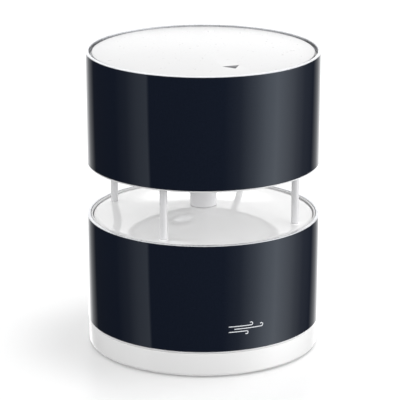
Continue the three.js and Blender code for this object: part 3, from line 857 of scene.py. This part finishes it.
def contact(node, side, fittings, tab_cell=None):
    """A sprung strip at one end of the cells: a coil for each flat end, a domed stud for each button."""
    strip = (26.9, 27.3)
    cell_z = middle("cell_1").z / MM
    half = 3.3
    xs = [middle(CELLS[i]).x / MM for _, i in fittings]
    bm = bmesh.new()
    ends = sorted(side * y for y in strip)
    boxes((min(xs) - half, max(xs) + half, *ends, cell_z - half, cell_z + half), edge=0.12)(bm)
    if tab_cell is not None:
        x = middle(CELLS[tab_cell]).x / MM
        boxes((x - 1.5, x + 1.5, *ends, cell_z, high(node).z / MM), edge=0.12)(bm)
    for kind, i in fittings:
        x = middle(CELLS[i]).x / MM
        if kind == "spring":
            coil = []
            for k in range(81):
                t = k / 80
                a = 2 * math.pi * 3 * t
                r = 3 - 1.2 * t
                y = side * (26.85 - 1.6 * t)
                coil.append(Vector((x + r * math.cos(a), y, cell_z + r * math.sin(a))) * MM)
            add_tube(bm, coil, 0.3 * MM, 10)
        else:
            y = side * (26.9 + 24.95) / 2
            dome = rounded(profile(0, (0, -0.95), (2.2, -0.95), (2.2, 0.95, 0.6), (0, 0.95)), closed=False)
            studs = bmesh.new()
            add_lathe(studs, dome, 40)
            turned = Matrix.Rotation(math.radians(90 * side), 4, "X")
            studs.transform(Matrix.Translation(Vector((x, y, cell_z)) * MM) @ turned)
            stud_mesh = bpy.data.meshes.new("stud")
            studs.to_mesh(stud_mesh)
            studs.free()
            bm.from_mesh(stud_mesh)
            bpy.data.meshes.remove(stud_mesh)
    place(finish_mesh(f"{node}_strip", bm, [steel]), node)


contact("cell_bridge_1", 1, [("stud", 0), ("spring", 1)])
contact("cell_bridge_2", -1, [("stud", 1), ("spring", 2)])
contact("cell_bridge_3", 1, [("stud", 2), ("spring", 3)])
contact("terminal_positive", -1, [("stud", 3)], tab_cell=3)
contact("terminal_negative", -1, [("spring", 0)], tab_cell=0)

# ---------------------------------------------------------------- fasteners
def screw(node):
    """A pan-head screw with a cross in its head and a rolled thread."""
    x, y = middle(node).to_2d()
    top = high(node).z
    thread = []
    for k in range(9):
        z = -7.2 + 0.6 * k
        thread += [(0.58, z), (0.75, z + 0.25), (0.75, z + 0.35)]
    outline = rounded(profile(
        top, (0, -7.4), (0.5, -7.4), *thread, (0.62, -1.4), (2, -1.4, 0.2), (2, -0.75, 0.5),
        (1.1, -0.05, 0.4), (0, 0),
    ), closed=False, steps=3)
    piece = lathe(f"{node}_panhead", outline, [steel], 40, (x, y))
    combine(piece, "DIFFERENCE", *cross(middle(node).to_2d(), 1.15, 0.22, top, 0.65))
    place(piece, node)


for screw_node in ("tray_screw_1", "tray_screw_2", "tray_screw_3", "board_screw_1", "board_screw_2"):
    screw(screw_node)


def nut(node):
    """A hexagon nut with chamfered corners and a threaded hole."""
    centre = middle(node)
    z0 = low(node).z / MM
    z1 = high(node).z / MM
    bm = bmesh.new()
    corners = [centre.to_2d() + spot for spot in around(2.3, *range(0, 360, 60))]
    add_prism(bm, corners, z0 * MM, z1 * MM)
    piece = finish_mesh(f"{node}_hexagon", bm, [steel])
    spot = [centre.to_2d()]

    def crown(bm):
        outline = rounded([
            (0, z0 - 1), (1.9, z0 - 1), (1.9, z0), (2.35, z0 + 0.3), (2.35, z1 - 0.3), (1.9, z1),
            (1.9, z1 + 1), (0, z1 + 1),
        ], closed=False)
        add_lathe(bm, [(r * MM, z * MM) for r, z in outline], 48, spot[0])

    combine(piece, "INTERSECT", crown)
    combine(piece, "DIFFERENCE", rods(spot, 1.15, z0 - 1, z1 + 1))
    place(piece, node)


for number in range(1, 5):
    nut(f"post_nut_{number}")

# ---------------------------------------------------------------- cable between the boards
def signal_cable():
    """The jacketed cable: up through the column, over in a loop and down into the sensor board's socket."""
    node = "signal_cable"
    r = 1.5
    loop = 6.0
    turn_z = high(node).z / MM - loop - r
    points = [Vector((0, 0, z)) for z in (low(node).z / MM, 50, 55, 60, 65, 70, 75, 80, 85)]
    for k in range(25):
        a = math.pi * k / 24
        points.append(Vector((loop * (1 - math.cos(a)), 0, turn_z + loop * math.sin(a))))
    points.append(Vector((2 * loop, 0, 88.6)))
    bm = bmesh.new()
    add_tube(bm, [p * MM for p in points], r * MM, 24)
    place(finish_mesh("jacketed_cable", bm, [cable_jacket]), node)


signal_cable()

# ---------------------------------------------------------------- cell tray
CELL_ROWS = [middle(c).x / MM for c in CELLS]
CONTROL_SPOTS = [middle(c).to_2d() for c in ("pairing_button", "light_pipe")]
STANDOFFS = around(30, 30, 150, 270)


def tray():
    """The roof over the cells: end walls, saddles between cells, wells for the controls and board pegs."""
    top = 34.65
    roof = rounded(profile(0, (0, 33.05), (38.9, 33.05, 0.3), (38.9, top, 0.3), (0, top)), closed=False)
    piece = lathe("cell_tray", roof, [grey_plastic])
    gaps = [(a + b) / 2 for a, b in zip(CELL_ROWS, CELL_ROWS[1:])]

    saddle = [(-4.3, 33.2), (-2.2, 30.6), (-0.3, 28.45), (0.3, 28.45), (2.2, 30.6), (4.3, 33.2)]

    def saddles(bm):
        for x in gaps:
            add_skin(bm, [[bm.verts.new(Vector((x + dx, y, z)) * MM) for dx, z in saddle] for y in (-20, 20)])

    walls = boxes(
        (-24.8, 24.8, 27.4, 28.8, 22, 33.5), (-24.8, 24.8, -28.8, -27.4, 22, 33.5),
        (28.9, 30.2, -20, 20, 22, 33.5), (-30.2, -28.9, -20, 20, 22, 33.5), edge=0.25,
    )
    combine(
        piece, "UNION", saddles, walls, rods(CONTROL_SPOTS[:1], 4.3, 24.5, 33.5, 0.3),
        rods(CONTROL_SPOTS[1:], 2.9, 24.5, 33.5, 0.3), rods(STANDOFFS, 2.2, top - 0.4, 38.95, 0.2),
        rods(STANDOFFS, 0.9, 38, 41.2, 0.25),
    )
    slots = boxes(*((x - 2, x + 2, -27.6, -26.6, 32, 36) for x in (CELL_ROWS[0], CELL_ROWS[-1])))
    combine(
        piece, "DIFFERENCE", rods(CONTROL_SPOTS[:1], 3.3, 20, 33.05), rods(CONTROL_SPOTS[:1], 2.4, 30, 40),
        rods(CONTROL_SPOTS[1:], 1.9, 20, 40), rods(TRAY_SCREWS, 1, 32, 36), slots,
    )
    place(piece, "battery_tray")


tray()

# ---------------------------------------------------------------- boards and what they carry
def board(piece_name, node, holes, clear_of):
    """A round board with its holes and rows of small soldered parts, each a body with two tinned ends."""
    z0 = low(node).z
    z1 = high(node).z
    r = radius(node)
    disc = rounded([(0, z0), (r, z0, 0.1 * MM), (r, z1, 0.1 * MM), (0, z1)], closed=False)
    piece = lathe(piece_name, disc, [solder_mask, black_plastic, steel])
    combine(piece, "DIFFERENCE", *holes)
    room = Vector((2.5, 2.5)) * MM
    taken = [(low(n).to_2d() - room, high(n).to_2d() + room) for n in clear_of]
    bm = bmesh.new()
    bm.from_mesh(piece.data)
    for ring_r, count in ((12, 9), (22, 15), (28, 20)):
        for k in range(count):
            spot = around(ring_r, 360 * k / count + 7)[0]
            if any(a.x < spot.x < b.x and a.y < spot.y < b.y for a, b in taken):
                continue
            long_side, wide = ((1.0, 0.5), (1.6, 0.8))[k % 2]
            for part_from, part_to, index in ((-1, 1, 1), (-1, -0.6, 2), (0.6, 1, 2)):
                first = len(bm.faces)
                grow = 0.02 if index == 2 else 0.0
                half = wide / 2 + grow
                lo = Vector((part_from * long_side / 2, -half, -0.02)) * MM
                hi = Vector((part_to * long_side / 2, half, 0.4 + grow)) * MM
                foot = Vector((*spot, z1))
                add_box(bm, foot + lo, foot + hi, 0.04 * MM)
                bm.faces.ensure_lookup_table()
                for face in bm.faces[first:]:
                    face.material_index = index
    bm.to_mesh(piece.data)
    bm.free()
    piece.data.shade_smooth()
    piece.data.set_sharp_from_angle(angle=SMOOTH_ANGLE)
    place(piece, node)


ON_MAIN = ("radio_can", "microcontroller", "reservoir_capacitor", "cable_socket_lower")
board("main_circuit_board", "main_board", [rods(STANDOFFS, 1.1, 38, 42)], ON_MAIN)
board(
    "sensor_circuit_board", "sensor_board", [rods([(0, 0)], 2.6, 80, 86), rods(BOARD_POSTS, 1, 80, 86)],
    ("amplifier_chip", "cable_socket_upper", "antenna", *TRANSDUCERS),
)


def chip(node, legs):
    """A flat package with gull-wing legs on two sides and a round dimple at its first leg."""
    a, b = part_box(node)
    inset = 0.9 * MM
    bm = bmesh.new()
    add_box(bm, (a.x + inset, a.y + 0.1 * MM, a.z + 0.1 * MM), (b.x - inset, b.y - 0.1 * MM, b.z), 0.1 * MM)
    package = len(bm.faces)
    for k in range(legs):
        y = a.y + (b.y - a.y) * (k + 1) / (legs + 1)
        for side in (-1, 1):
            tip = a.x if side < 0 else b.x
            root = tip - side * (inset + 0.1 * MM)
            near, far = y - 0.15 * MM, y + 0.15 * MM
            x0, x1 = sorted((tip, tip - side * 0.45 * MM))
            add_box(bm, (x0, near, a.z), (x1, far, a.z + 0.12 * MM), 0.03 * MM)
            x0, x1 = sorted((tip - side * 0.3 * MM, root))
            add_box(bm, (x0, near, a.z + 0.08 * MM), (x1, far, a.z + 0.5 * MM), 0.05 * MM)
    bm.faces.ensure_lookup_table()
    for face in bm.faces[package:]:
        face.material_index = 1
    piece = finish_mesh(f"{node}_package", bm, [black_plastic, steel])
    dot = (a.x + inset + 0.8 * MM, b.y - 0.9 * MM)
    combine(piece, "DIFFERENCE", rods([dot], 0.3, b.z / MM - 0.06, b.z / MM + 1, sides=24))
    place(piece, node)


chip("microcontroller", 8)
chip("amplifier_chip", 7)


def shield_can():
    """The radio's tinned lid, with a raised rim and a grid of vent holes."""
    a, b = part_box("radio_can")
    bm = bmesh.new()
    add_box(bm, a, (b.x, b.y, b.z - 0.25 * MM), 0.25 * MM)
    rim = Vector((0.5, 0.5, 0)) * MM
    add_box(bm, Vector((a.x, a.y, b.z - 0.4 * MM)) + rim, b - rim, 0.12 * MM)
    piece = finish_mesh("radio_shield", bm, [can_metal])
    steps = range(-2, 3)
    centre = middle("radio_can").to_2d()
    spots = [centre + Vector((i * 2.2, j * 2.2)) * MM for i in steps for j in steps if abs(i) + abs(j) > 1]
    combine(piece, "DIFFERENCE", rods(spots, 0.35, b.z / MM - 0.2, b.z / MM + 1, sides=16))
    place(piece, "radio_can")


shield_can()


def capacitor():
    """A can capacitor: a sleeved body rolled in near its seal, with a scored vent on top."""
    node = "reservoir_capacitor"
    x, y = middle(node).to_2d()
    height = (high(node).z - low(node).z) / MM
    outline = rounded(profile(
        low(node).z, (0, 0), (3.9, 0, 0.2), (4, 0.5, 0.2), (4, 0.9), (3.7, 1.2, 0.2), (4, 1.5),
        (4, height, 0.5),
        (3.2, height, 0.1), (3.1, height - 0.12), (0, height - 0.12),
    ), closed=False)
    piece = lathe("capacitor_can", outline, [black_plastic, can_metal], 64, (x, y))
    for face in piece.data.polygons:
        face.material_index = 1 if face.center.z > high(node).z - 0.3 * MM else 0
    combine(piece, "DIFFERENCE", *cross(middle(node).to_2d(), 2.4, 0.1, high(node).z, 0.25))
    place(piece, node)


capacitor()


def socket(node):
    """A latching cable socket: a shell with a well for the plug and a key slot on one side."""
    a, b = (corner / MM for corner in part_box(node))
    body = boxes((a.x, b.x, a.y, b.y, a.z, b.z), edge=0.2)
    piece = built(f"{node}_shell", body, [satin_white])
    wall = 0.8
    gap = 2.2
    well = boxes((a.x + wall, b.x - wall, a.y + wall, b.y - wall, b.z - gap, b.z + 1), edge=0.1)
    key = boxes(((a.x + b.x) / 2 - 0.6, (a.x + b.x) / 2 + 0.6, a.y - 1, a.y + wall + 0.1, b.z - gap, b.z + 1))
    combine(piece, "DIFFERENCE", well, key)
    place(piece, node)


socket("cable_socket_lower")
socket("cable_socket_upper")


def antenna():
    """The stamped antenna: a strip on two legs, with a slot that folds its path back."""
    a, b = (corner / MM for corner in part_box("antenna"))
    bm = bmesh.new()
    add_box(bm, Vector((a.x, a.y, b.z - 0.4)) * MM, b * MM, 0.1 * MM)
    piece = finish_mesh("stamped_antenna", bm, [steel])
    legs = [(x, x + 3, b.y - 0.4, b.y, a.z, b.z - 0.2) for x in (a.x, a.x + 10)]
    combine(piece, "UNION", boxes(*legs, edge=0.08))
    slots = [(x, x + 1, a.y + 1.2 * (k % 2) - 0.5, b.y - 1.2 * ((k + 1) % 2) - 0.6, b.z - 1, b.z + 1)
             for k, x in enumerate((a.x + 16, a.x + 20, a.x + 24, a.x + 28))]
    combine(piece, "DIFFERENCE", boxes(*slots))
    place(piece, "antenna")


antenna()

# ---------------------------------------------------------------- button, switch and light
def controls():
    button = "pairing_button"
    x, y = middle(button).to_2d()
    top = (high(button).z - low(button).z) / MM
    outline = rounded(profile(
        low(button).z, (0, 0.25), (1.7, 0.25, 0.3), (2.1, 0, 0.15), (2.9, 0, 0.4), (2.9, 7.8, 0.2),
        (2, 7.8), (2, 10.75),
        (2.9, 10.75, 0.15), (2.9, top, 0.2), (0, top),
    ), closed=False)
    place(lathe("pairing_plunger", outline, [grey_plastic], 64, (x, y)), button, "button")
    pipe = "light_pipe"
    x, y = middle(pipe).to_2d()
    outline = rounded(profile(
        low(pipe).z, (0, 0.15), (1.2, 0, 0.2), (1.5, 0.3, 0.2), (1.5, 10.55), (2.4, 10.55, 0.1),
        (2.4, 11.25, 0.3),
        (1.5, 11.65, 0.3), (0, (high(pipe).z - low(pipe).z) / MM),
    ), closed=False)
    place(lathe("moulded_light_pipe", outline, [clear.material], 64, (x, y)), pipe)
    a, b = (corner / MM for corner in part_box("tact_switch"))
    switch = built("switch_case", boxes((a.x, b.x, a.y, b.y, a.z + 0.6, b.z), edge=0.2), [black_plastic])
    spot = [middle("tact_switch").to_2d()]
    combine(switch, "UNION", rods(spot, 1.5, a.z, a.z + 0.8, 0.15))
    place(switch, "tact_switch")
    a, b = (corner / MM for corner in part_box("status_led"))
    led = built("led_package", boxes((a.x, b.x, a.y, b.y, a.z + 0.35, b.z), edge=0.1), [clear.material])
    combine(led, "UNION", boxes((a.x + 0.4, b.x - 0.4, a.y + 0.25, b.y - 0.25, a.z, a.z + 0.5), edge=0.12))
    place(led, "status_led")


controls()

# ---------------------------------------------------------------- camera, floor and light
def camera():
    made = bpy.data.objects.new("camera", bpy.data.cameras.new("camera"))
    bpy.context.scene.collection.objects.link(made)
    a = math.radians(VIEW_AZIMUTH)
    made.location = (VIEW_DISTANCE * math.sin(a), -VIEW_DISTANCE * math.cos(a), VIEW_HEIGHT)
    made.rotation_euler = (math.pi / 2 - VIEW_PITCH, 0, a)
    made.data.lens = LENS
    made.data.sensor_width = SENSOR
    made.data.shift_x = SHIFT_X
    made.data.clip_start = 0.05
    made.data.clip_end = 50
    made.data.dof.use_dof = False
    bpy.context.scene.camera = made


def floor():
    bm = bmesh.new()
    bmesh.ops.create_grid(bm, x_segments=2, y_segments=2, size=6.0)
    s = Surface("pale_floor", 0.35, IOR=1.3)
    s.colour(s.noise(3, 3), (0.3, (0.835, 0.835, 0.835)), (0.7, (0.85, 0.85, 0.85)))
    s.rough(s.noise(40, 3), 0.3, 0.4)
    piece = finish_mesh("studio_floor", bm, [s.material])
    piece.location.z = CAD_BOX[0].z - 0.02 * MM
    piece.visible_glossy = False
    piece.visible_diffuse = False
    return piece


def shadow_lamp(floor_piece):
    """A softbox high on the right that lights only the floor and casts the soft shadow on the left."""
    light = bpy.data.lights.new("overhead_right", "AREA")
    light.shape = "RECTANGLE"
    light.size = 0.3
    light.size_y = 0.3
    light.energy = 3.4
    made = bpy.data.objects.new("overhead_right", light)
    bpy.context.scene.collection.objects.link(made)
    azimuth = math.radians(VIEW_AZIMUTH + 95)
    elevation = math.radians(83)
    level = math.cos(elevation)
    away = Vector((math.sin(azimuth) * level, -math.cos(azimuth) * level, math.sin(elevation)))
    made.location = away * 1.2 + Vector((0, 0, 55 * MM))
    made.rotation_mode = "QUATERNION"
    made.rotation_quaternion = away.to_track_quat("Z", "Y")
    made.visible_glossy = False
    made.visible_camera = False
    floor_only = bpy.data.collections.new("floor_only")
    floor_only.objects.link(floor_piece)
    made.light_linking.receiver_collection = floor_only


class WorldNodes:
    """Short calls that add nodes to the world's tree."""

    def __init__(self, world):
        world.use_nodes = True
        self.tree = world.node_tree
        self.nodes = self.tree.nodes

    def add(self, kind, *links, **settings):
        made = self.nodes.new(kind)
        for key, value in settings.items():
            setattr(made, key, value)
        for socket, source in enumerate(links):
            if isinstance(source, (int, float)):
                made.inputs[socket].default_value = source
            elif source is not None:
                self.tree.links.new(source, made.inputs[socket])
        return made

    def math(self, operation, *values):
        return self.add("ShaderNodeMath", *values, operation=operation).outputs[0]

    def times(self, one, two):
        return self.math("MULTIPLY", one, two)

    def plus(self, one, two):
        return self.math("ADD", one, two)

    def between(self, value, start, end, low_value, high_value):
        made = self.add("ShaderNodeMapRange", value, start, end, low_value, high_value)
        made.interpolation_type = "SMOOTHSTEP"
        return made.outputs[0]

    def shine(self, strength):
        made = self.add("ShaderNodeBackground")
        made.inputs["Color"].default_value = (1, 1, 1, 1)
        if isinstance(strength, float):
            made.inputs["Strength"].default_value = strength
        else:
            self.tree.links.new(strength, made.inputs["Strength"])
        return made.outputs[0]

    def pick(self, factor, no, yes):
        return self.add("ShaderNodeMixShader", factor, no, yes).outputs[0]


# What the gloss of the gauge mirrors, by the angle round it from the camera's side, positive to its
# right: a dark front, a strip light with one sharp edge on the left, a broad panel on the right and
# the white backdrop.
PANEL = 2.25
MIRRORED = [
    (-180, 1.0), (-164, 0.85), (-155, 0.50), (-148, 0.26), (-134, 0.012), (-95, 0.004), (-80, 0.06),
    (-67, 0.21), (-55.2, 0.29), (-54.6, 0.004), (20, 0.004), (36, 0.10), (52, 0.42), (64, 0.72),
    (76, 0.86), (89, 0.55), (104, 0.21), (116, 0.067), (134, 0.012), (148, 0.26), (155, 0.50),
    (164, 0.85), (180, 1.0),
]
MIRRORED_ABOVE = 1.3  # the ceiling, as the gloss mirrors it
# What lights the gauge: a band round the horizon, and the ceiling and ground beyond it.
SIDE_LEFT = 1.5
SIDE_FRONT = 1.45
SIDE_RIGHT = 5.0
ZENITH = 0.80
NADIR = 0.42


def studio():
    """Surroundings that light the gauge, most from the right near the horizon, and others that its
    gloss mirrors. The camera sees a white backdrop."""
    world = bpy.data.worlds.new("studio")
    bpy.context.scene.world = world
    n = WorldNodes(world)
    n.nodes.clear()
    direction = n.add("ShaderNodeTexCoord").outputs["Generated"]
    turn = n.add("ShaderNodeVectorRotate", direction, rotation_type="Z_AXIS")
    turn.inputs["Angle"].default_value = math.radians(-VIEW_AZIMUTH)
    x, y, z = n.add("ShaderNodeSeparateXYZ", turn.outputs[0]).outputs
    angle = n.math("ARCTAN2", x, n.times(y, -1.0))
    share = n.add("ShaderNodeMapRange", angle, -math.pi, math.pi, 0.0, 1.0).outputs[0]
    # Each stop is a grey whose value is its share of PANEL.
    ramp = n.add("ShaderNodeValToRGB", share)
    while len(ramp.color_ramp.elements) < len(MIRRORED):
        ramp.color_ramp.elements.new(0.5)
    for element, (degrees, value) in zip(ramp.color_ramp.elements, MIRRORED):
        element.position = (degrees + 180) / 360
        element.color = (value, value, value, 1)
    stripes = n.times(ramp.outputs["Color"], PANEL)
    above = n.between(z, 0.10, 0.22, 0.0, 1.0)
    ceiling = n.times(above, MIRRORED_ABOVE)
    walls = n.times(stripes, n.math("SUBTRACT", 1.0, above))
    mirrored = n.shine(n.plus(walls, ceiling))
    band = n.times(n.between(z, 0.30, 0.52, 1.0, 0.0), n.between(z, -0.02, 0.02, 0.0, 1.0))
    side = n.between(x, 0.0, 0.95, SIDE_FRONT, SIDE_RIGHT)
    side = n.plus(side, n.between(x, -0.95, -0.35, SIDE_LEFT, 0.0))
    rest = n.between(z, -0.05, 0.05, NADIR, ZENITH)
    beyond = n.times(n.math("SUBTRACT", 1.0, band), rest)
    lit = n.plus(n.times(band, side), beyond)
    path = n.add("ShaderNodeLightPath")
    other = n.pick(path.outputs["Is Glossy Ray"], n.shine(lit), mirrored)
    final = n.pick(path.outputs["Is Camera Ray"], other, n.shine(1.0))
    output = n.add("ShaderNodeOutputWorld")
    n.tree.links.new(final, output.inputs["Surface"])


camera()
studio()
shadow_lamp(floor())
bpy.context.scene.view_settings.view_transform = "Standard"
